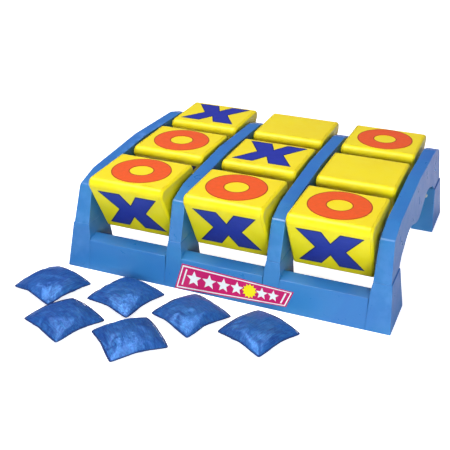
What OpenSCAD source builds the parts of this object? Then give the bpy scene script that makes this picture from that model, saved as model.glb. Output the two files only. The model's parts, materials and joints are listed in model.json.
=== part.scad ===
// Tic tac toe toss: two beams and four rails plug together into a frame.
// Three axle rods carry nine three-sided targets that spin one by one, and
// six bean bags are thrown at them.
// Millimetres. X runs across the frame, +Y from the front beam to the rear
// beam, +Z up. The origin is on the floor, at the middle of the front edge of
// the front beam. The frame is the same front to back and left to right.

/* [Frame] */
// Width of the frame at the floor
frame_w = 500; // [490:1:510]
// Depth of the frame at the floor
frame_d = 415; // [410:1:425]
// Height of the seam between the beams' stubs and the rails
seam_z = 70; // [68:1:72]
// Inward lean of the beams' outer ends for each millimetre of height
end_lean = 0.1; // [0.06:0.01:0.11]

/* [Beams] */
// Height of a beam's ledge at its back edge, between the stubs
beam_z = 52; // [50:1:54]
// How far the ledge slopes down to its front edge
ledge_drop = 6; // [0:0.5:6]
// Depth of a beam between its stubs, at the floor
bar_foot_d = 32; // [30:1:36]
// Distance from the front of the frame to the back edge of the beam's ledge
bar_top_d = 28; // [26:1:32]
// Depth of the feet at the floor
foot_d = 84; // [80:1:88]
// Distance from the front of the frame to the back of a stub at the seam
stub_back_y = 66; // [63:1:68]
// Wall thickness of the beams
beam_wall = 2.5; // [2.2:0.1:2.6]
// Distance of an end foot's inner side from the middle of the frame
end_foot_x = 214; // [212:1:214]
// How much a stub narrows on a side above the beam, at the ends
end_stub_flare = 2.6; // [2.4:0.1:2.8]
// How much a stub narrows on a side above the beam, in the middle
mid_stub_flare = 2.2; // [1.2:0.1:2.4]

/* [Rails] */
// Setback of the front face at the seam
seam_y = 12.5; // [11:0.5:14]
// Setback of the shoulder
shoulder_y = 29; // [27:1:31]
// Height of the shoulder
shoulder_z = 127; // [125:1:129]
// Setback of the bend above the shoulder
bend_y = 68; // [64:1:72]
// Height of that bend
bend_z = 138.5; // [137:0.5:140]
// Height of the rails at the middle of the frame
crown_z = 145; // [143:1:146]
// Mean height of the rails' scalloped lower edge
scallop_z = 88; // [86:1:90]
// Rise and fall of the scalloped lower edge
scallop_amp = 8; // [5:1:9]
// Distance of a middle rail from the middle of the frame
mid_rail_x = 75.35; // [75:0.05:76]
// Width of a middle rail
mid_rail_w = 20.3; // [20:0.1:20.6]
// Inward lean of the side rails' outer faces
rail_lean = 0.08; // [0.05:0.01:0.09]
// Step from the beams' ends in to the side rails' outer faces
rail_step = 1.5; // [1:0.1:1.6]
// Wall thickness of the rails
rail_wall = 3.2; // [3.1:0.1:3.6]

/* [Targets] */
// Distance between the axles of two rows
row_pitch = 144; // [140:1:148]
// Height of the front axle
axle_z = 112.4; // [111:0.2:113]
// How much lower each axle sits than the one in front of it
row_drop = 2.6; // [0:0.2:3]
// Distance from a target's axle to each of its faces
face_r = 36.5; // [35:0.5:37]
// Radius of a target's long edges
edge_r = 10; // [8:1:12]
// Length of a target
target_w = 119.4; // [118:0.1:119.6]
// Wall thickness of a target
target_wall = 2.2; // [2:0.1:2.6]
// Bevel round the ends of a target
end_bevel = 2.5; // [1.5:0.5:3]
// Radius of an axle rod
rod_r = 4; // [3.5:0.5:5]
// Radial running clearance of a target on its rod
rod_gap = 0.05; // [0.03:0.01:0.08]
// Outer radius of the spacers
spacer_r = 7; // [6.5:0.5:7.5]
// End play between a target and its spacers, each side
end_play = 0.3; // [0.3:0.05:0.4]

/* [Symbols] */
// Outer radius of the O
ring_r = 45; // [40:1:45]
// Radius of the hole in the O
ring_hole_r = 17.5; // [16:0.5:22]
// Thickness of the symbols and of the badge
label_t = 0.4; // [0.3:0.1:0.6]
// How far the X sits above the middle of its face
x_shift = 3; // [0:1:3]
// Length of the badge on the front beam
badge_w = 180; // [140:1:190]
// How far right of the middle the badge sits
badge_x = 20; // [0:1:24]
// Height of the badge's middle on the beam's face
badge_z = 21; // [21:1:24]
// Height of the badge at its left end
badge_left_h = 40; // [30:1:42]
// Height of the badge at its right end
badge_right_h = 24; // [20:1:42]
// Slant of the badge's ends
badge_slant = 9; // [0:1:12]

/* [Bean bags] */
// Side of a bean bag
bag_w = 84; // [74:1:84]
// Thickness of a bean bag
bag_t = 22; // [20:1:30]
// Width of the slope from a bag's edge to its flat top
bag_slope = 15; // [8:1:20]

/* [Hidden] */
// Rows run front to rear, and columns run left to right
ROWS = ["front", "middle", "rear"];
COLUMNS = ["left", "centre", "right"];
// What shows on top of each target: 0 is an O, 1 an X and 2 the blank face
TOP_FACES = [[0, 0, 0], [0, 1, 2], [1, 2, 0]];
// Where each bean bag lies: x, y and its turn in degrees
BAGS = [[-236, -67, -20], [-172, -140.5, -25], [-122, -54.5, -17],
        [-68.5, -147.5, -43], [-16.5, -62, -27], [85, -67, -25]];

$fn = 64;
corner_steps = 6;
scallop_steps = 44;
edge_steps = 12;

blue = [0.22, 0.47, 0.80];
yellow = [0.98, 0.90, 0.12];
orange = [0.95, 0.42, 0.18];
royal = [0.18, 0.26, 0.66];
steel = [0.72, 0.73, 0.75];
white = [0.93, 0.93, 0.90];
magenta = [0.80, 0.10, 0.45];
navy = [0.16, 0.33, 0.66];

// How far cutters run past the faces that they cut
past = 1;
mid_y = frame_d / 2;
end_rail_x = end_foot_x + end_stub_flare;
mid_rail_half = mid_rail_w / 2;
mid_foot_half = mid_rail_half + mid_stub_flare;
column_pitch = (mid_rail_x + mid_rail_half + end_rail_x) / 2;
// The rails' front faces stand a little back from the stubs' at the seam
seam_recess = 0.5;
// Radii of a rail's top line at the shoulder and at the bend
shoulder_r = 8;
bend_r = 40;
// Depth of the slope from the back of a rail's leg up to the scalloped edge
leg_slope_y = 14;

// The tabs under the rails' legs
tab_gap = 0.3;
tab_wall = 2.2;
tab_inset = beam_wall + tab_gap;
tab_low_z = 48;
tab_high_z = seam_z + 10;

// The screws through the back of each foot
screw_z = 58;
screw_r = 1.75;
screw_hole_r = 2;
pilot_r = 1.8;
screw_len = 13;
screw_head_r = 3.5;
screw_head_t = 2.2;
screw_boss_r = 4.2;
screw_boss_len = 11;
foot_back_angle = atan2(foot_d - stub_back_y, seam_z);

// The axle bosses and the marks over them
boss_r = 8;
rod_half_len = 234;
blind_end_x = 234.5;
boss_end_x = 236;
mark_w = 2.4;
mark_h = 12;
mark_depth = 1;

// The caps at a target's ends
cap_t = 4;
skirt_len = 7;
skirt_gap = 0.2;
skirt_wall = 2;
hub_r = 8;
hub_len = 18;

function mix(a, b, t) = a + (b - a) * t;
function unit(v) = v / norm(v);
function mirrored(points) =
    [for (i = [len(points) - 1 : -1 : 0]) [frame_d - points[i][0], points[i][1]]];

// The corner b of a path a, b, c rounded with radius r
function rounded(a, b, c, r) =
    let (u = unit(a - b), w = unit(c - b), half = acos(u * w) / 2,
         centre = b + unit(u + w) * r / sin(half),
         p = b + u * r / tan(half) - centre, q = b + w * r / tan(half) - centre,
         from = atan2(p[1], p[0]), turn = atan2(q[1], q[0]) - from,
         sweep = turn > 180 ? turn - 360 : turn < -180 ? turn + 360 : turn)
    [for (i = [0 : corner_steps])
        let (angle = from + sweep * i / corner_steps) centre + r * [cos(angle), sin(angle)]];

// The frame's faces at a height: front of a foot, its back, the bar's back
// and the outer ends of the beams and of the side rails
function front_y(z) = seam_y * z / seam_z;
function foot_back(z) = mix(foot_d, stub_back_y, z / seam_z);
function bar_back(z) = mix(bar_foot_d, bar_top_d, z / beam_z);
function beam_end(z) = frame_w / 2 - end_lean * z;
function rail_end(z) = beam_end(seam_z) - rail_step - rail_lean * (z - seam_z);
function row_y(row) = mid_y + (row - 1) * row_pitch;
function row_z(row) = axle_z - row * row_drop;
function column_x(column) = (column - 1) * column_pitch;

// Extrudes an outline drawn in Y and Z along X
module along_x(low, high) {
    translate([low, 0, 0]) rotate([90, 0, 90]) linear_extrude(high - low) children();
}

// Extrudes an outline drawn in X and Z along Y
module along_y(low, high) {
    translate([0, high, 0]) rotate([90, 0, 0]) linear_extrude(high - low) children();
}

module flip_x() { mirror([1, 0, 0]) children(); }
module flip_y() { translate([0, frame_d, 0]) mirror([0, 1, 0]) children(); }

// Moves a piece drawn about the X axis to the axle of a row
module on_axle(row) { translate([0, row_y(row), row_z(row)]) children(); }

// A cylinder along X from low to high
module rod(r, low, high) {
    translate([low, 0, 0]) rotate([0, 90, 0]) cylinder(r = r, h = high - low);
}

// ---- Beams ----

// Side view of a foot, drawn in by inset
module foot_side(inset, low, high) {
    polygon([[front_y(low) + inset, low], [foot_back(low) - inset, low],
             [foot_back(high) - inset, high], [front_y(high) + inset, high]]);
}

// Front view of the right end foot and of a middle foot, drawn in by inset
module end_foot_front(inset, low, high) {
    polygon([[end_foot_x + inset, low], [beam_end(low) - inset, low],
             [beam_end(high) - inset, high], [end_rail_x + inset, high],
             [end_rail_x + inset, seam_z], [end_foot_x + inset, beam_z]]);
}

module mid_foot_front(inset, low, high) {
    wide = mid_foot_half - inset;
    narrow = mid_rail_half - inset;
    translate([mid_rail_x, 0])
        polygon([[-wide, low], [wide, low], [wide, beam_z], [narrow, seam_z],
                 [narrow, high], [-narrow, high], [-narrow, seam_z], [-wide, beam_z]]);
}

module end_foot(inset, low, high) {
    intersection() {
        along_y(-foot_d, 2 * foot_d) end_foot_front(inset, low, high);
        along_x(0, frame_w) foot_side(inset, low, high);
    }
}

module mid_foot(inset, low, high) {
    intersection() {
        along_y(-foot_d, 2 * foot_d) mid_foot_front(inset, low, high);
        along_x(0, frame_w) foot_side(inset, low, high);
    }
}

// The bar between the feet, in side view, with the ledge that slopes down to the front
module bar_side(inset, low, high) {
    front = high - ledge_drop;
    polygon([[front_y(low) + inset, low], [bar_back(low) - inset, low],
             [bar_back(high) - inset, high], [front_y(front) + inset, front]]);
}

// Puts a piece drawn along +Z at the screw in the back of a foot
module at_screw(x) {
    translate([x, foot_back(screw_z), screw_z]) rotate([foot_back_angle - 90, 0, 0]) children();
}

// The middle of each foot at the height of its screw
end_screw_x = (end_foot_x + beam_end(screw_z)) / 2;
SCREW_XS = [-end_screw_x, -mid_rail_x, mid_rail_x, end_screw_x];

module beam() {
    bay = mid_rail_x - mid_foot_half;
    difference() {
        union() {
            along_x(-end_foot_x - past, end_foot_x + past) bar_side(0, 0, beam_z);
            for (side = [0, 1]) mirror([side, 0, 0]) {
                end_foot(0, 0, seam_z);
                mid_foot(0, 0, seam_z);
            }
        }
        along_x(-bay, bay) bar_side(beam_wall, -past, beam_z - beam_wall);
        for (side = [0, 1]) mirror([side, 0, 0]) {
            along_x(mid_rail_x + mid_foot_half, end_foot_x)
                bar_side(beam_wall, -past, beam_z - beam_wall);
            end_foot(beam_wall, -past, seam_z + past);
            mid_foot(beam_wall, -past, seam_z + past);
        }
        for (x = SCREW_XS) at_screw(x)
            translate([0, 0, -tab_inset]) cylinder(r = screw_hole_r, h = tab_inset + past);
    }
}

module front_beam() { color(blue) beam(); }
module rear_beam() { color(blue) flip_y() beam(); }

// ---- Rails ----

// The front half of a rail's top line, drawn in by inset
function rail_top_front(inset) =
    let (a = [seam_y + seam_recess + inset, seam_z - (inset > 0 ? past : 0)],
         b = [shoulder_y + inset, shoulder_z - inset],
         c = [bend_y, bend_z - inset],
         d = [mid_y, crown_z - inset])
    concat([a], rounded(a, b, c, shoulder_r), rounded(b, c, d, bend_r));

// The lower edge dips under each axle and lifts between them
function scallop(y) = scallop_z - scallop_amp * cos(360 * (y - mid_y) / row_pitch);

module rail_side() {
    top = rail_top_front(0);
    first_y = stub_back_y + leg_slope_y;
    lower = [for (i = [0 : scallop_steps])
        let (y = mix(first_y, frame_d - first_y, i / scallop_steps)) [y, scallop(y)]];
    leg = [[stub_back_y, seam_z]];
    polygon(concat(top, [[mid_y, crown_z]], mirrored(top), mirrored(leg),
        [for (i = [scallop_steps : -1 : 0]) lower[i]], leg));
}

module rail_hollow_side() {
    top = rail_top_front(rail_wall);
    polygon(concat(top, [[mid_y, crown_z - rail_wall]], mirrored(top)));
}

// Front view of the right side rail from its inner face to its outer face
module side_rail_front(inset) {
    polygon([[end_rail_x + inset, seam_z - past], [rail_end(seam_z - past) - inset, seam_z - past],
             [rail_end(crown_z + past) - inset, crown_z + past], [end_rail_x + inset, crown_z + past]]);
}

// The boss for a screw inside a tab, and the pilot hole in it
module screw_boss(x) {
    length = screw_boss_len - tab_inset - tab_wall / 2;
    at_screw(x) translate([0, 0, -screw_boss_len]) cylinder(r = screw_boss_r, h = length);
}

module screw_pilot(x) {
    at_screw(x) translate([0, 0, -screw_boss_len - past]) cylinder(r = pilot_r, h = screw_boss_len);
}

module end_tab() {
    difference() {
        end_foot(tab_inset, tab_low_z, tab_high_z);
        end_foot(tab_inset + tab_wall, tab_low_z - past, tab_high_z + past);
    }
    screw_boss(end_screw_x);
}

module mid_tab() {
    difference() {
        mid_foot(tab_inset, tab_low_z, tab_high_z);
        mid_foot(tab_inset + tab_wall, tab_low_z - past, tab_high_z + past);
    }
    screw_boss(mid_rail_x);
}

module side_rail() {
    difference() {
        union() {
            difference() {
                intersection() {
                    along_x(0, frame_w) rail_side();
                    along_y(-past, frame_d + past) side_rail_front(0);
                }
                intersection() {
                    along_x(0, frame_w) rail_hollow_side();
                    along_y(-past, frame_d + past) side_rail_front(rail_wall);
                }
            }
            for (row = [0 : 2]) on_axle(row) rod(boss_r, end_rail_x + past, boss_end_x);
            end_tab();
            flip_y() end_tab();
        }
        for (row = [0 : 2]) on_axle(row) {
            rod(rod_r + rod_gap, end_rail_x - past, blind_end_x);
            translate([rail_end(row_z(row)) - mark_depth, -mark_w / 2, -mark_h / 2])
                cube([2 * mark_depth + past, mark_w, mark_h]);
        }
        screw_pilot(end_screw_x);
        flip_y() screw_pilot(end_screw_x);
    }
}

module middle_rail() {
    low = mid_rail_x - mid_rail_half;
    high = mid_rail_x + mid_rail_half;
    difference() {
        union() {
            difference() {
                along_x(low, high) rail_side();
                along_x(low + rail_wall, high - rail_wall) rail_hollow_side();
            }
            for (row = [0 : 2]) on_axle(row) rod(boss_r, low + past, high - past);
            mid_tab();
            flip_y() mid_tab();
        }
        for (row = [0 : 2]) on_axle(row) rod(rod_r + rod_gap, low - past, high + past);
        screw_pilot(mid_rail_x);
        flip_y() screw_pilot(mid_rail_x);
    }
}

module left_side_rail() { color(blue) flip_x() side_rail(); }
module right_side_rail() { color(blue) side_rail(); }
module left_middle_rail() { color(blue) flip_x() middle_rail(); }
module right_middle_rail() { color(blue) middle_rail(); }

// ---- Screws and badge ----

module screw() {
    translate([0, 0, -screw_len]) cylinder(r = screw_r, h = screw_len + screw_head_t / 2);
    cylinder(r = screw_head_r, h = screw_head_t);
}

module frame_screws() {
    color(steel) for (x = SCREW_XS) {
        at_screw(x) screw();
        flip_y() at_screw(x) screw();
    }
}

// A slanted badge, narrower to the right, lying on the sloping front face
module front_badge() {
    lean = atan2(seam_y, seam_z);
    left = badge_x - badge_w / 2;
    right = badge_x + badge_w / 2;
    color(magenta) rotate([-lean, 0, 0]) along_y(-label_t, 0)
        polygon([[left, badge_z - badge_left_h / 2],
                 [right - badge_slant, badge_z - badge_right_h / 2],
                 [right, badge_z + badge_right_h / 2],
                 [left + badge_slant, badge_z + badge_left_h / 2]]);
}

// ---- Axles ----

module axle(row) { color(steel) on_axle(row) rod(rod_r, -rod_half_len, rod_half_len); }

// A ring against each face of a rail that has a target beside it
module spacers(row) {
    half = target_w / 2 + end_play;
    color(white) on_axle(row) for (column = [0 : 2], side = [-1, 1]) {
        x = column_x(column) + side * half;
        rail = side * (column_x(column) == 0 ? mid_rail_x - mid_rail_half
            : side * column_x(column) > 0 ? end_rail_x : -(mid_rail_x + mid_rail_half));
        difference() {
            rod(spacer_r, min(x, rail), max(x, rail));
            rod(rod_r + rod_gap, min(x, rail) - past, max(x, rail) + past);
        }
    }
}

// ---- Targets ----

// Section of a target, drawn in by inset: a rounded triangle with one face upward
module target_section(inset) {
    reach = 2 * (face_r - edge_r);
    polygon([for (k = [0 : 2], i = [0 : edge_steps])
        let (corner = 30 + 120 * k, angle = corner - 60 + 120 * i / edge_steps)
        reach * [cos(corner), sin(corner)] + (edge_r - inset) * [cos(angle), sin(angle)]]);
}

// Moves a piece drawn about the X axis to a target's place
module at_target(row, column) { translate([column_x(column), row_y(row), row_z(row)]) children(); }

module target_shell(row, column) {
    half = target_w / 2 - cap_t;
    color(yellow) at_target(row, column) difference() {
        along_x(-half, half) target_section(0);
        along_x(-half - past, half + past) target_section(target_wall);
    }
}

// The cap on the right end, with a skirt inside the shell and a bored hub
module target_cap() {
    half = target_w / 2;
    inner = half - cap_t;
    skirt_inset = target_wall + skirt_gap;
    difference() {
        union() {
            hull() {
                along_x(inner, half - end_bevel) target_section(0);
                along_x(inner, half) target_section(end_bevel);
            }
            difference() {
                along_x(inner - skirt_len, inner + past) target_section(skirt_inset);
                along_x(inner - skirt_len - past, inner) target_section(skirt_inset + skirt_wall);
            }
            rod(hub_r, half - hub_len, half - past);
        }
        rod(rod_r + rod_gap, half - hub_len - past, half + past);
    }
}

module target_caps(row, column) {
    color(yellow) at_target(row, column) for (side = [0, 1]) mirror([side, 0, 0]) target_cap();
}

// Turns a symbol drawn on the top face to the face that carries it
module on_face(row, column, face) {
    turns = (face - TOP_FACES[row][column] + 3) % 3;
    at_target(row, column) rotate([120 * turns, 0, 0]) translate([0, 0, face_r])
        linear_extrude(label_t) children();
}

module target_ring(row, column) {
    color(orange) on_face(row, column, 0) difference() {
        circle(r = ring_r);
        circle(r = ring_hole_r);
    }
}

// The X: half of its corners, and the same half turned round
module target_cross(row, column) {
    corners = [[-46, 39], [-10, 40], [1, 15], [16, 40], [49, 40], [22, 0]];
    color(royal) on_face(row, column, 1) translate([0, x_shift])
        polygon(concat(corners, [for (corner = corners) -corner]));
}

// ---- Bean bags ----

module bean_bag(i) {
    place = BAGS[i];
    seam_t = 2;
    flat_w = bag_w - 2 * bag_slope;
    color(navy) translate([place[0], place[1], 0]) rotate([0, 0, place[2]]) hull() {
        translate([-flat_w / 2, -flat_w / 2, 0]) cube([flat_w, flat_w, bag_t]);
        translate([-bag_w / 2, -bag_w / 2, (bag_t - seam_t) / 2]) cube([bag_w, bag_w, seam_t]);
    }
}

front_beam();
rear_beam();
left_side_rail();
right_side_rail();
left_middle_rail();
right_middle_rail();
frame_screws();
front_badge();
for (row = [0 : 2]) {
    axle(row);
    spacers(row);
}
for (row = [0 : 2], column = [0 : 2]) {
    target = str(ROWS[row], "_", COLUMNS[column]);
    target_shell(row, column);
    target_caps(row, column);
    target_ring(row, column);
    target_cross(row, column);
}
for (i = [0 : len(BAGS) - 1]) bean_bag(i);
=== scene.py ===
import json
import math

import bmesh
import bpy
import numpy as np
from mathutils import Matrix, Vector, noise as field


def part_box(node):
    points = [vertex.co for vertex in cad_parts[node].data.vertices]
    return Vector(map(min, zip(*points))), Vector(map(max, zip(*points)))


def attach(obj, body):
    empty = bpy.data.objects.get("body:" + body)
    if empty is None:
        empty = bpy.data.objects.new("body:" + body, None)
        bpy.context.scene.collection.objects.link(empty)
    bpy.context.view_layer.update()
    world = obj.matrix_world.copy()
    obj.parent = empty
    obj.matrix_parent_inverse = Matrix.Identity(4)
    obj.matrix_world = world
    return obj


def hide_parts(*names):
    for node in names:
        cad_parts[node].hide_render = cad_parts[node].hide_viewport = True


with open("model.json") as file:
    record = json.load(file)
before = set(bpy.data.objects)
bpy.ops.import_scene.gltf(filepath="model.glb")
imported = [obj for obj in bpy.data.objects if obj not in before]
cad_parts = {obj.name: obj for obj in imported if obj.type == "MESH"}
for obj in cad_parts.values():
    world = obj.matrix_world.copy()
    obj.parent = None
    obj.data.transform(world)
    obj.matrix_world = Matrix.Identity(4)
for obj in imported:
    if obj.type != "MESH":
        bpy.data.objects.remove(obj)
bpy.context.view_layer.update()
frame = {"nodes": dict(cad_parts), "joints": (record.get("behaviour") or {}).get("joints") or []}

MM = 0.001
ROWS = ("front", "middle", "rear")
COLUMNS = ("left", "centre", "right")
BAG_COUNT = 6

# The camera: where it stands, in metres, and how it is turned, in degrees
CAMERA_AT = Vector((0.388, -0.9686, 0.6458))
CAMERA_TURN = 21.6
CAMERA_DIP = 28.03
CAMERA_ROLL = -0.71
CAMERA_LENS = 67.75
CAMERA_SHIFT = (0.0057, 0.0399)

# Colours, linear
BLUE = (0.030, 0.205, 0.475, 1)
BLUE_DEEP = (0.030, 0.168, 0.46, 1)
BLUE_WORN = (0.13, 0.34, 0.72, 1)
YELLOW = (0.95, 0.79, 0.004, 1)
YELLOW_DEEP = (0.92, 0.73, 0.004, 1)
YELLOW_WORN = (0.96, 0.84, 0.08, 1)
ORANGE = (0.92, 0.120, 0.008, 1)
ORANGE_EDGE = (0.42, 0.075, 0.003, 1)
ORANGE_LINE = (0.5, 0.06, 0.008, 1)
ROYAL = (0.022, 0.042, 0.34, 1)
ROYAL_EDGE = (0.008, 0.013, 0.10, 1)
ROYAL_LINE = (0.008, 0.012, 0.09, 1)
MAGENTA = (0.60, 0.010, 0.13, 1)
MAGENTA_DEEP = (0.45, 0.008, 0.10, 1)
PAPER = (0.86, 0.86, 0.84, 1)
PAPER_DEEP = (0.74, 0.74, 0.72, 1)
STEEL = (0.55, 0.56, 0.58, 1)
STEEL_DEEP = (0.40, 0.41, 0.43, 1)
NYLON = (0.80, 0.79, 0.74, 1)
NYLON_DEEP = (0.72, 0.71, 0.66, 1)
SATIN = (0.017, 0.090, 0.37, 1)
SATIN_DEEP = (0.010, 0.045, 0.24, 1)
# Painted sheen: the pale colour of the streaks on the bag cloth
SATIN_PAINTED_SHEEN = (0.060, 0.35, 0.70, 1)
# Painted shade: the seam's dark navy stands in for the shade along each bag's edge, and its pale streaks
# are painted sheen
SEAM_SHADE_NAVY = (0.012, 0.022, 0.14, 1)
SEAM_SHADE_NAVY_DEEP = (0.008, 0.014, 0.09, 1)
SEAM_SHADE_NAVY_SHEEN = (0.02, 0.05, 0.22, 1)
WHITE = (1, 1, 1, 1)
PALE_FLOOR = (0.90, 0.90, 0.90, 1)
BLACK = (0, 0, 0, 1)

# Rounding of the CAD pieces' edges, and the angle in degrees from which an edge counts as sharp
FRAME_ROUND = 1.1 * MM
SIDE_RAIL_ROUND = 0.45 * MM
CAP_ROUND = 0.8 * MM
SCREW_ROUND = 0.4 * MM
SPACER_ROUND = 0.3 * MM
SHELL_ROUND = 0.25 * MM
SHARP_ANGLE = 28

# The symbols' outlines: how far they stand over the symbols, and their widths
KEYLINE_LIFT = 0.06 * MM
RING_LINE = 1.6 * MM
CROSS_LINE = 1.5 * MM

# Prints on the badge: how far they start over it, and their thickness
PRINT_GAP = 0.02 * MM
PRINT_THICKNESS = 0.12 * MM
# Where the stars stand along the badge, and which of them is the sun
STAR_PLACES = (0.145, 0.285, 0.415, 0.535, 0.648, 0.755, 0.855)
SUN = 4

# Vertices this close are one
SAME_PLACE = 0.01 * MM

# Bean bags: the grid across a bag, its first thickness, the air in it and the steps
BAG_GRID = 36
BAG_START = 2.0 * MM
BAG_PRESSURE = 24
BAG_STEPS = 22
# How much of the blown-up bag's shrinking is kept, and how far its corners are cut
BAG_PULL = 0.12
BAG_CORNER = 0.035
# Which way the filling of each bag has run, across and along
BAG_LEANS = ((0.10, 0.10), (0.22, -0.10), (-0.05, -0.15), (0.15, -0.20), (-0.10, -0.12), (0.05, -0.18))
# How many quarter turns each bag is turned from the nearest square position
BAG_QUARTERS = (1, 0, 2, 2, 2, 3)
# The flange's section in millimetres: how far out, and how high
SEAM_SECTION = ((-0.9, 0.0), (-0.2, 0.42), (1.1, 0.36), (1.8, 0.0), (1.1, -0.36), (-0.2, -0.42))
SEAM_REACH = 1.8 * MM
# The cloth's lowest height over the floor, and how softly the bag's underside flattens on it
BAG_FLOOR = 0.3 * MM
FLOOR_SOFTNESS = 1.2 * MM


# ---- Node helpers ----

def add_node(tree, kind, inputs=None, **settings):
    """A shader node with its settings, and its inputs set or linked."""
    made = tree.nodes.new("ShaderNode" + kind)
    for name, value in settings.items():
        setattr(made, name, value)
    for name, value in (inputs or {}).items():
        socket = made.inputs[name]
        if isinstance(value, bpy.types.NodeSocket):
            tree.links.new(value, socket)
        else:
            socket.default_value = value
    return made


def new_material(name, **constants):
    """A Principled material with constants set on the shader's own sockets."""
    material = bpy.data.materials.new(name)
    material.use_nodes = True
    shader = material.node_tree.nodes["Principled BSDF"]
    for socket, value in constants.items():
        shader.inputs[socket.replace("_", " ")].default_value = value
    return material, material.node_tree, shader


def place(tree):
    """The object's own coordinates."""
    return add_node(tree, "TexCoord").outputs["Object"]


def noise(tree, where, scale, detail=3.0, roughness=0.55, distortion=0.0):
    inputs = {"Vector": where, "Scale": scale, "Detail": detail, "Roughness": roughness,
              "Distortion": distortion}
    return add_node(tree, "TexNoise", inputs).outputs["Fac"]


def ramp(tree, value, low, high, low_to=0.0, high_to=1.0):
    """value between low and high, stretched to low_to and high_to and clamped."""
    inputs = {"Value": value, "From Min": low, "From Max": high, "To Min": low_to, "To Max": high_to}
    return add_node(tree, "MapRange", inputs, clamp=True).outputs["Result"]


def mix_colour(tree, share, a, b):
    return add_node(tree, "Mix", {0: share, 6: a, 7: b}, data_type="RGBA").outputs[2]


def calc(tree, operation, a, b=0.0):
    return add_node(tree, "Math", {0: a, 1: b}, operation=operation).outputs[0]


def bump(tree, height, strength, distance, normal=None):
    inputs = {"Height": height, "Strength": strength, "Distance": distance}
    if normal is not None:
        inputs["Normal"] = normal
    return add_node(tree, "Bump", inputs).outputs["Normal"]


# ---- Materials ----

def moulded_plastic(name, main, deep, worn, gloss, shine):
    """Glossy injection-moulded plastic: flow marks, a fine skin and rubbed edges."""
    material, tree, shader = new_material(name, Specular_IOR_Level=shine, IOR=1.5)
    where = place(tree)
    flow = noise(tree, where, 9.0, 4.0, 0.6, 0.8)
    colour = mix_colour(tree, ramp(tree, flow, 0.35, 0.7), main, deep)
    edge = add_node(tree, "NewGeometry").outputs["Pointiness"]
    rubbed = calc(tree, "MULTIPLY", ramp(tree, edge, 0.52, 0.60, 0.0, 0.8),
                  ramp(tree, noise(tree, where, 70.0, 4.0), 0.40, 0.65))
    tree.links.new(mix_colour(tree, rubbed, colour, worn), shader.inputs["Base Color"])
    scuffs = noise(tree, where, 38.0, 5.0, 0.7, 1.5)
    rough = ramp(tree, scuffs, 0.3, 0.75, gloss, gloss + 0.12)
    dulled = calc(tree, "ADD", rough, calc(tree, "MULTIPLY", rubbed, 0.15))
    tree.links.new(dulled, shader.inputs["Roughness"])
    skin = bump(tree, noise(tree, where, 1400.0, 2.0), 0.10, 0.0002)
    wave = bump(tree, noise(tree, where, 22.0, 1.0), 0.22, 0.0015, skin)
    tree.links.new(wave, shader.inputs["Normal"])
    return material


def printed_ink(name, main, edge_colour):
    """Screen-printed film with slight mottling."""
    material, tree, shader = new_material(name, Specular_IOR_Level=0.28, Coat_Weight=0.05,
                                          Coat_Roughness=0.25)
    where = place(tree)
    mottle = ramp(tree, noise(tree, where, 160.0, 4.0), 0.3, 0.75, 0.0, 0.22)
    colour = mix_colour(tree, mottle, main, edge_colour)
    tree.links.new(colour, shader.inputs["Base Color"])
    rough = ramp(tree, noise(tree, where, 45.0, 3.0), 0.3, 0.7, 0.30, 0.42)
    tree.links.new(rough, shader.inputs["Roughness"])
    tree.links.new(bump(tree, noise(tree, where, 900.0, 2.0), 0.10, 0.0002), shader.inputs["Normal"])
    return material


def turned_steel(name):
    """Bright steel with fine turning lines."""
    material, tree, shader = new_material(name, Metallic=1.0, Anisotropic=0.4)
    where = place(tree)
    lines = add_node(tree, "TexWave", {"Vector": where, "Scale": 900.0, "Distortion": 3.0,
                                       "Detail": 2.0}, bands_direction="X").outputs["Fac"]
    stains = ramp(tree, noise(tree, where, 60.0), 0.3, 0.7, 0.0, 0.5)
    tree.links.new(mix_colour(tree, stains, STEEL, STEEL_DEEP), shader.inputs["Base Color"])
    tree.links.new(ramp(tree, lines, 0.0, 1.0, 0.22, 0.36), shader.inputs["Roughness"])
    tree.links.new(bump(tree, lines, 0.08, 0.0001), shader.inputs["Normal"])
    return material


def satin_cloth(name, main, deep, pale):
    """Satin weave: fine ribs, pale streaks along them that are painted sheen, real sheen and a cloudy
    darker tone.
    """
    material, tree, shader = new_material(name, Specular_IOR_Level=1.0, Sheen_Weight=0.35,
                                          Sheen_Roughness=0.30, Sheen_Tint=(0.35, 0.62, 1.0, 1),
                                          Specular_Tint=(0.45, 0.80, 1.0, 1), Metallic=0.30,
                                          Anisotropic=0.4)
    where = place(tree)
    clouds = noise(tree, where, 42.0, 4.0, 0.6, 0.5)
    colour = mix_colour(tree, ramp(tree, clouds, 0.35, 0.7), main, deep)
    # Pale streaks mixed into the cloth colour: painted sheen
    drawn = add_node(tree, "Mapping", {"Vector": where, "Scale": (60.0, 900.0, 300.0)}).outputs[0]
    painted_sheen_streaks = ramp(tree, noise(tree, drawn, 1.0, 3.0, 0.6), 0.42, 0.72, 0.0, 0.45)
    tree.links.new(mix_colour(tree, painted_sheen_streaks, colour, pale), shader.inputs["Base Color"])
    weave = []
    for direction in ("X", "Y"):
        inputs = {"Vector": where, "Scale": 330.0, "Distortion": 1.2, "Detail": 2.0}
        weave.append(add_node(tree, "TexWave", inputs, bands_direction=direction).outputs["Fac"])
    threads = calc(tree, "MAXIMUM", weave[0], weave[1])
    tree.links.new(ramp(tree, clouds, 0.3, 0.7, 0.32, 0.46), shader.inputs["Roughness"])
    fine = bump(tree, threads, 0.30, 0.0002)
    crease = bump(tree, noise(tree, where, 130.0, 5.0, 0.6, 1.6), 0.5, 0.0012, fine)
    tree.links.new(crease, shader.inputs["Normal"])
    return material


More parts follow.
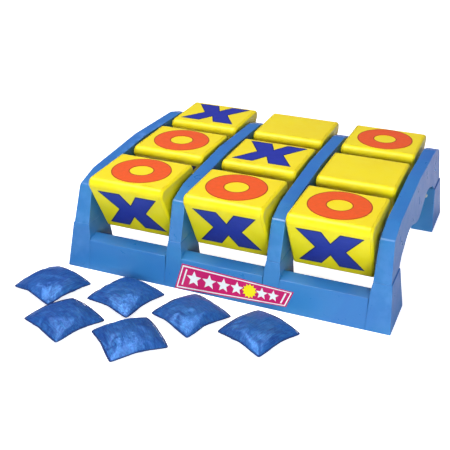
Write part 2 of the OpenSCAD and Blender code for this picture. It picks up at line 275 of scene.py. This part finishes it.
def nylon(name):
    """Natural nylon with a faint mottle."""
    material, tree, shader = new_material(name, Subsurface_Weight=0.15, Subsurface_Scale=0.002)
    where = place(tree)
    mottle = ramp(tree, noise(tree, where, 120.0), 0.3, 0.7)
    tree.links.new(mix_colour(tree, mottle, NYLON, NYLON_DEEP), shader.inputs["Base Color"])
    tree.links.new(ramp(tree, noise(tree, where, 300.0), 0.3, 0.7, 0.38, 0.5), shader.inputs["Roughness"])
    tree.links.new(bump(tree, noise(tree, where, 1200.0), 0.12, 0.0002), shader.inputs["Normal"])
    return material


MATERIALS = {
    "frame_plastic": moulded_plastic("frame_plastic", BLUE, BLUE_DEEP, BLUE_WORN, 0.26, 0.5),
    "target_plastic": moulded_plastic("target_plastic", YELLOW, YELLOW_DEEP, YELLOW_WORN, 0.30, 0.3),
    "ring_print": printed_ink("ring_print", ORANGE, ORANGE_EDGE),
    "cross_print": printed_ink("cross_print", ROYAL, ROYAL_EDGE),
    "ring_edge": printed_ink("ring_edge", ORANGE_EDGE, ORANGE_LINE),
    "cross_edge": printed_ink("cross_edge", ROYAL_EDGE, ROYAL_LINE),
    "sun": printed_ink("sun", YELLOW, YELLOW_DEEP),
    "badge": printed_ink("badge", MAGENTA, MAGENTA_DEEP),
    "paper": printed_ink("paper", PAPER, PAPER_DEEP),
    "axle_steel": turned_steel("axle_steel"),
    "screw_steel": turned_steel("screw_steel"),
    "spacer_nylon": nylon("spacer_nylon"),
    "bag_fabric": satin_cloth("bag_fabric", SATIN, SATIN_DEEP, SATIN_PAINTED_SHEEN),
    # The seam cloth's dark navy is painted shade along the bag's edge
    "bag_seam_painted_shade": satin_cloth("bag_seam_painted_shade", SEAM_SHADE_NAVY, SEAM_SHADE_NAVY_DEEP, SEAM_SHADE_NAVY_SHEEN),
}


def new_piece(name, shape, material):
    """A mesh object from a bmesh, with its material."""
    mesh = bpy.data.meshes.new(name)
    shape.to_mesh(mesh)
    shape.free()
    mesh.materials.append(MATERIALS[material])
    piece = bpy.data.objects.new(name, mesh)
    bpy.context.scene.collection.objects.link(piece)
    return piece


# ---- CAD nodes ----

def paint(name, material):
    """Gives a CAD node one material all over."""
    mesh = frame["nodes"][name].data
    mesh.materials.clear()
    mesh.materials.append(MATERIALS[material])
    mesh.polygons.foreach_set("material_index", [0] * len(mesh.polygons))


def soften(name, width, segments=3):
    """Rounds a CAD node's sharp edges with modifiers, so its own mesh stays as it is."""
    piece = frame["nodes"][name]
    mesh = piece.data
    if "custom_normal" in mesh.attributes:
        mesh.attributes.remove(mesh.attributes["custom_normal"])
    mesh.polygons.foreach_set("use_smooth", [True] * len(mesh.polygons))
    piece.modifiers.new("weld", "WELD").merge_threshold = SAME_PLACE
    bevel = piece.modifiers.new("round_edges", "BEVEL")
    bevel.width = width
    bevel.segments = segments
    bevel.limit_method = "ANGLE"
    bevel.angle_limit = math.radians(SHARP_ANGLE)
    bevel.use_clamp_overlap = False
    bevel.loop_slide = False
    normals = piece.modifiers.new("normals", "WEIGHTED_NORMAL")
    normals.weight = 60


def dress_frame():
    for name in ("front_beam", "rear_beam", "left_middle_rail", "right_middle_rail"):
        paint(name, "frame_plastic")
        soften(name, FRAME_ROUND)
    for name in ("left_side_rail", "right_side_rail"):
        paint(name, "frame_plastic")
        soften(name, SIDE_RAIL_ROUND)
    paint("frame_screws", "screw_steel")
    soften("frame_screws", SCREW_ROUND)
    paint("front_badge", "badge")


def dress_targets():
    for row in ROWS:
        paint(row + "_axle", "axle_steel")
        paint(row + "_spacers", "spacer_nylon")
        soften(row + "_spacers", SPACER_ROUND)
        for column in COLUMNS:
            target = row + "_" + column
            paint(target + "_shell", "target_plastic")
            paint(target + "_caps", "target_plastic")
            soften(target + "_shell", SHELL_ROUND, 2)
            soften(target + "_caps", CAP_ROUND)
            paint(target + "_ring", "ring_print")
            paint(target + "_cross", "cross_print")


def outward(name, body):
    """The direction from a target's axle to a printed symbol's face."""
    joint = next(j for j in frame["joints"] if j["child"] == body)
    low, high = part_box(name)
    away = (low + high) / 2 - Vector(joint["pos_m"])
    return Vector((0, away.y, away.z)).normalized()


def add_keyline(name, body, width, material):
    """The darker line printed round the edges of a symbol."""
    facing = outward(name, body)
    shape = bmesh.new()
    shape.from_mesh(frame["nodes"][name].data)
    bmesh.ops.remove_doubles(shape, verts=shape.verts, dist=SAME_PLACE)
    hidden = [face for face in shape.faces if face.normal.dot(facing) < 0.99]
    bmesh.ops.delete(shape, geom=hidden, context="FACES")
    rim = bmesh.ops.inset_region(shape, faces=shape.faces, thickness=width, use_boundary=True,
                                 use_even_offset=True)["faces"]
    inner = [face for face in shape.faces if face not in set(rim)]
    bmesh.ops.delete(shape, geom=inner, context="FACES")
    bmesh.ops.translate(shape, verts=shape.verts, vec=facing * KEYLINE_LIFT)
    piece = new_piece(name + "_keyline", shape, material)
    piece.modifiers.new("thickness", "SOLIDIFY").thickness = KEYLINE_LIFT
    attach(piece, body)


def print_keylines():
    for row in ROWS:
        for column in COLUMNS:
            target = row + "_" + column
            add_keyline(target + "_ring", target + "_target", RING_LINE, "ring_edge")
            add_keyline(target + "_cross", target + "_target", CROSS_LINE, "cross_edge")


# ---- Badge ----

def badge_face():
    """The badge's front: its corners from the lower left round to the upper left, and its normal."""
    mesh = frame["nodes"]["front_badge"].data
    out = min(mesh.polygons, key=lambda face: face.normal.y).normal.copy()
    front = [face for face in mesh.polygons if face.normal.dot(out) > 0.999]
    points = [mesh.vertices[k].co.copy() for face in front for k in face.vertices]
    points.sort(key=lambda point: point.x + point.z)
    low_left, high_right = points[0], points[-1]
    points.sort(key=lambda point: point.x - point.z)
    high_left, low_right = points[0], points[-1]
    return [low_left, low_right, high_right, high_left], out


def on_badge(corners, across, up):
    """A point on the badge: across and up run from 0 to 1."""
    low = corners[0].lerp(corners[1], across)
    return low.lerp(corners[3].lerp(corners[2], across), up)


def patch(corners, left, right, low, high):
    """Four points of the badge between shares of its length and of its height."""
    return [on_badge(corners, *at) for at in ((left, low), (right, low), (right, high), (left, high))]


def star(corners, out, across, reach, points=5, waist=0.45):
    """A star on the badge's middle line, sized by the badge's height there."""
    middle = on_badge(corners, across, 0.5)
    right = (on_badge(corners, 1, 0.5) - on_badge(corners, 0, 0.5)).normalized()
    up = out.cross(right)
    radius = reach * (on_badge(corners, across, 1) - on_badge(corners, across, 0)).length
    made = []
    for i in range(2 * points):
        size = radius * (1.0 if i % 2 == 0 else waist)
        angle = math.radians(90 + 180 * i / points)
        made.append(middle + size * (right * math.cos(angle) + up * math.sin(angle)))
    return made


def print_flat(name, shapes, out, material):
    """Thin flat prints on the badge."""
    shape = bmesh.new()
    for corners in shapes:
        face = shape.faces.new([shape.verts.new(point + out * PRINT_GAP) for point in corners])
        sides = bmesh.ops.extrude_face_region(shape, geom=[face])["geom"]
        moved = [v for v in sides if isinstance(v, bmesh.types.BMVert)]
        bmesh.ops.translate(shape, verts=moved, vec=out * PRINT_THICKNESS)
    bmesh.ops.recalc_face_normals(shape, faces=shape.faces)
    piece = new_piece(name, shape, material)
    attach(piece, "frame")


def print_badge():
    """A keyline with a bar inside each of its ends, and a row of stars round a sun."""
    corners, out = badge_face()
    outer = patch(corners, 0.012, 0.988, 0.05, 0.95)
    inner = patch(corners, 0.022, 0.978, 0.10, 0.90)
    line = [[outer[i], outer[(i + 1) % 4], inner[(i + 1) % 4], inner[i]] for i in range(4)]
    bars = [patch(corners, left, left + 0.014, 0.18, 0.82) for left in (0.050, 0.936)]
    print_flat("badge_keyline", line + bars, out, "paper")
    white = [star(corners, out, across, 0.31) for i, across in enumerate(STAR_PLACES) if i != SUN]
    print_flat("badge_stars", white, out, "paper")
    print_flat("badge_sun", [star(corners, out, STAR_PLACES[SUN], 0.36, points=12, waist=0.72)], out, "sun")


# ---- Bean bags ----

def smooth(piece):
    """Smooth shading, and one subdivision."""
    piece.data.polygons.foreach_set("use_smooth", [True] * len(piece.data.polygons))
    piece.data.update()
    piece.modifiers.new("smooth", "SUBSURF").render_levels = 1


def grid_index(i, j):
    """The number of a point on a bag's upper sheet."""
    return i * (BAG_GRID + 1) + j


def bag_border():
    """The grid points round a bag's edge, in order."""
    n = BAG_GRID
    return ([grid_index(i, 0) for i in range(n)] + [grid_index(n, j) for j in range(n)]
            + [grid_index(n - i, n) for i in range(n)] + [grid_index(0, n - j) for j in range(n)])


def grid_places():
    """Where a bag's points lie on its sheets, across and along from -1 to 1."""
    n = BAG_GRID
    upper = [(2 * i / n - 1, 2 * j / n - 1) for i in range(n + 1) for j in range(n + 1)]
    lower = [(2 * i / n - 1, 2 * j / n - 1) for i in range(1, n) for j in range(1, n)]
    return np.array(upper + lower).T


def flat_bag(name, side, seed):
    """Two square sheets that share their border, lifted a little apart."""
    n = BAG_GRID
    shape = bmesh.new()
    sheets = {1: {}, -1: {}}
    for way in (1, -1):
        for i in range(n + 1):
            for j in range(n + 1):
                if way == -1 and (i in (0, n) or j in (0, n)):
                    sheets[-1][i, j] = sheets[1][i, j]
                    continue
                u, v = 2 * i / n - 1, 2 * j / n - 1
                lift = BAG_START * (1 - u ** 4) * (1 - v ** 4)
                ripple = field.noise(Vector((u * 3.5, v * 3.5, seed * 7.3 + way * 2.1)))
                point = (u * side / 2, v * side / 2, way * lift * (1 + 0.6 * ripple))
                sheets[way][i, j] = shape.verts.new(point)
    for way, sheet in sheets.items():
        for i in range(n):
            for j in range(n):
                corners = [sheet[i, j], sheet[i + 1, j], sheet[i + 1, j + 1], sheet[i, j + 1]]
                shape.faces.new(corners if way == 1 else corners[::-1])
    return new_piece(name, shape, "bag_fabric")


def inflate(pieces):
    """Blows the bags up as cloth under pressure, all of them in one run."""
    for piece in pieces:
        cloth = piece.modifiers.new("cloth", "CLOTH").settings
        cloth.quality = 6
        cloth.mass = 0.1
        cloth.tension_stiffness = 18
        cloth.compression_stiffness = 18
        cloth.shear_stiffness = 6
        cloth.bending_stiffness = 0.02
        cloth.air_damping = 2
        cloth.use_pressure = True
        cloth.uniform_pressure_force = BAG_PRESSURE
        cloth.effector_weights.gravity = 0
    for step in range(1, BAG_STEPS + 1):
        bpy.context.scene.frame_set(step)
    graph = bpy.context.evaluated_depsgraph_get()
    for piece in pieces:
        blown = bpy.data.meshes.new_from_object(piece.evaluated_get(graph))
        piece.modifiers.clear()
        piece.data = blown
    bpy.context.scene.frame_set(1)


def spread_out(points, side):
    """Brings a blown-up bag back to nearly its sewn size, with its corners a little cut."""
    u, v = grid_places()
    round_off = 1 - BAG_CORNER * np.abs(u * v) ** 5
    for axis, flat in enumerate((u, v)):
        points[:, axis] = BAG_PULL * points[:, axis] + (1 - BAG_PULL) * flat * side / 2
        points[:, axis] *= round_off


def rest_on_floor(points, height, lean):
    """Gives a bag its thickness, flattens it on the floor and leans its filling to one side."""
    u, v = grid_places()
    over, under = points[:, 2].max(), -points[:, 2].min()
    share = 1 + lean[0] * u + lean[1] * v
    seam = (0.42 - 0.24 * np.clip(np.abs(u * v), 0, 1) ** 1.3) * height
    full = np.clip(points[:, 2], 0, None) / over
    full = 0.5 * full + 0.5 * full ** 2 * (3 - 2 * full)
    top = full * (0.50 * height) * share
    bottom = -(1 - (1 - np.clip(-points[:, 2], 0, None) / under) ** 1.7) * (0.52 * height)
    above = seam + top + bottom - BAG_FLOOR
    points[:, 2] = BAG_FLOOR + 0.5 * (above + np.sqrt(above ** 2 + FLOOR_SOFTNESS ** 2))


def rumple(points, seed):
    """Puckers beside the seam, and low rumples over the filling."""
    u, v = grid_places()
    for k in range(len(points)):
        edge = max(abs(u[k]), abs(v[k]))
        along = v[k] if abs(u[k]) > abs(v[k]) else u[k]
        pucker = math.sin(along * 21 + 3 * field.noise(Vector((along * 2, seed * 3.7, edge))))
        waves = field.turbulence(Vector((u[k] * 2.6, v[k] * 2.6, seed * 5.1)), 3, False)
        near_edge = math.exp(-((1 - edge) / 0.16) ** 2) * (1 - math.exp(-((1 - edge) / 0.03) ** 2))
        points[k, 2] += (0.45 * pucker * near_edge + 1.1 * (waves - 0.4) * (1 - edge ** 4)) * MM
    points[:, 2] = np.clip(points[:, 2], BAG_FLOOR, None)


def settle(piece, side, height, lean, seed):
    """Turns a blown-up bag into a filled one that lies on the floor."""
    mesh = piece.data
    points = np.array([vertex.co for vertex in mesh.vertices])
    spread_out(points, side)
    rest_on_floor(points, height, lean)
    rumple(points, seed)
    mesh.vertices.foreach_set("co", points.astype(np.float32).ravel())
    smooth(piece)
    return points


def add_bag_seam(name, points, seed):
    """The sewn edge: a thin flat flange round the bag, a little wavy, in a dark navy cloth whose darkness
    is painted shade along the bag's edge.
    """
    border = [Vector(points[k]) for k in bag_border()]
    count = len(border)
    shape = bmesh.new()
    rings = []
    for k, point in enumerate(border):
        along = border[(k + 1) % count] - border[k - 1]
        out = Vector((along.y, -along.x, 0)).normalized()
        wave = 0.3 * MM * field.noise(Vector((k * 0.35, seed * 4.4, 0)))
        rings.append([shape.verts.new(point + out * (x * MM) + Vector((0, 0, z * MM + wave)))
                      for x, z in SEAM_SECTION])
    for k in range(count):
        a, b = rings[k], rings[(k + 1) % count]
        for i in range(len(a)):
            j = (i + 1) % len(a)
            shape.faces.new((a[i], b[i], b[j], a[j]))
    bmesh.ops.recalc_face_normals(shape, faces=shape.faces)
    # The flange gets the dark navy cloth: painted shade along the bag's edge
    piece = new_piece(name + "_seam", shape, "bag_seam_painted_shade")
    smooth(piece)
    return piece


def bag_place(name, quarters):
    """The matrix of a bag's place on the floor, its side and its height."""
    low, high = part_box(name)
    middle = (low + high) / 2
    vertices = frame["nodes"][name].data.vertices
    corners = [Vector((vertex.co.x - middle.x, vertex.co.y - middle.y)) for vertex in vertices]
    corner = max(corners, key=lambda c: c.length)
    quarter = math.pi / 2
    turn = math.atan2(corner.y, corner.x) % quarter - quarter / 2 + quarters * quarter
    place_matrix = Matrix.Translation((middle.x, middle.y, 0)) @ Matrix.Rotation(turn, 4, "Z")
    return place_matrix, corner.length * math.sqrt(2), high.z


def make_bean_bags():
    """Six cloth bags with sewn edges, each in its CAD solid's place."""
    names = [f"bean_bag_{k + 1}" for k in range(BAG_COUNT)]
    places = [bag_place(name, quarters) for name, quarters in zip(names, BAG_QUARTERS)]
    bags = []
    for k, (name, (_, side, _)) in enumerate(zip(names, places)):
        bags.append(flat_bag(name + "_cloth", side - 2 * SEAM_REACH, k))
    inflate(bags)
    for k, (name, bag, (matrix, side, height)) in enumerate(zip(names, bags, places)):
        points = settle(bag, side - 2 * SEAM_REACH, height, BAG_LEANS[k], k)
        seam = add_bag_seam(name, points, k)
        for piece in (bag, seam):
            piece.matrix_world = matrix
            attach(piece, f"bag_{k + 1}")
        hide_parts(name)


# ---- Stage ----

def look_from(turn, dip, roll, at):
    """The matrix of a camera at a point, turned round Z, dipped and rolled, in degrees."""
    a, e, r = (math.radians(x) for x in (turn, dip, roll))
    ahead = Vector((-math.sin(a) * math.cos(e), math.cos(a) * math.cos(e), -math.sin(e)))
    level = Vector((math.cos(a), math.sin(a), 0))
    down = ahead.cross(level)
    right = math.cos(r) * level + math.sin(r) * down
    below = math.cos(r) * down - math.sin(r) * level
    turned = Matrix((right, -below, -ahead)).transposed()
    return Matrix.Translation(at) @ turned.to_4x4()


def make_camera():
    data = bpy.data.cameras.new("camera")
    data.lens = CAMERA_LENS
    data.shift_x, data.shift_y = CAMERA_SHIFT
    data.clip_start = 0.01
    camera = bpy.data.objects.new("camera", data)
    bpy.context.scene.collection.objects.link(camera)
    camera.matrix_world = look_from(CAMERA_TURN, CAMERA_DIP, CAMERA_ROLL, CAMERA_AT)
    bpy.context.scene.camera = camera


def camera_only(piece):
    """Hides a piece from everything but the camera, so that it lights and shades nothing."""
    piece.visible_diffuse = False
    piece.visible_glossy = False
    piece.visible_transmission = False
    piece.visible_shadow = False


def add_sheet(name, height, emission):
    """A wide round sheet of floor."""
    bpy.ops.mesh.primitive_circle_add(vertices=96, radius=6, fill_type="NGON", location=(0, 0.2, height))
    sheet = bpy.context.object
    sheet.name = name
    material = new_material(name, Base_Color=PALE_FLOOR, Roughness=0.7, Emission_Color=WHITE,
                            Emission_Strength=emission)[0]
    sheet.data.materials.append(material)
    return sheet


def make_floor():
    """A pale floor that lights the pieces, and a white one that only the camera sees."""
    add_sheet("floor", -0.3 * MM, 0.0).visible_camera = False
    camera_only(add_sheet("floor_shown", 0, 0.86))


def make_backdrop():
    """A white surround that only the camera sees."""
    bpy.ops.mesh.primitive_uv_sphere_add(radius=30)
    backdrop = bpy.context.object
    backdrop.name = "backdrop"
    material = new_material("backdrop_white", Base_Color=BLACK, Specular_IOR_Level=0.0,
                            Emission_Color=WHITE, Emission_Strength=1.0)[0]
    backdrop.data.materials.append(material)
    camera_only(backdrop)


def area_light(name, at, aim, size, power, colour=(1, 1, 1), spread=180):
    """A soft light of a size in metres at a point, aimed at another, its spread in degrees."""
    data = bpy.data.lights.new(name, "AREA")
    data.shape = "RECTANGLE"
    data.size, data.size_y = size
    data.energy = power
    data.color = colour
    data.spread = math.radians(spread)
    light = bpy.data.objects.new(name, data)
    bpy.context.scene.collection.objects.link(light)
    light.location = at
    light.rotation_euler = (Vector(aim) - Vector(at)).to_track_quat("-Z", "Y").to_euler()


def make_lights():
    """A large key light above, a cooler fill from the front right and a weak light low on the left."""
    world = bpy.data.worlds.new("studio")
    world.use_nodes = True
    background = world.node_tree.nodes["Background"]
    background.inputs["Color"].default_value = (0.46, 0.36, 1.0, 1)
    background.inputs["Strength"].default_value = 0.32
    bpy.context.scene.world = world
    middle = (0, 0.2, 0.08)
    area_light("key", (-0.5, -0.16, 2.0), middle, (1.2, 0.9), 37)
    area_light("fill", (1.05, -1.9, 0.62), middle, (1.0, 0.7), 33, (0.84, 1.0, 0.86))
    area_light("low_left", (-0.45, -0.95, 0.25), (-0.08, -0.12, 0), (0.4, 0.2), 0.15, (0.75, 1.0, 1.0), 70)
    bpy.context.scene.view_settings.view_transform = "Standard"
    bpy.context.scene.view_settings.look = "None"


dress_frame()
dress_targets()
print_keylines()
print_badge()
make_bean_bags()
make_camera()
make_floor()
make_backdrop()
make_lights()
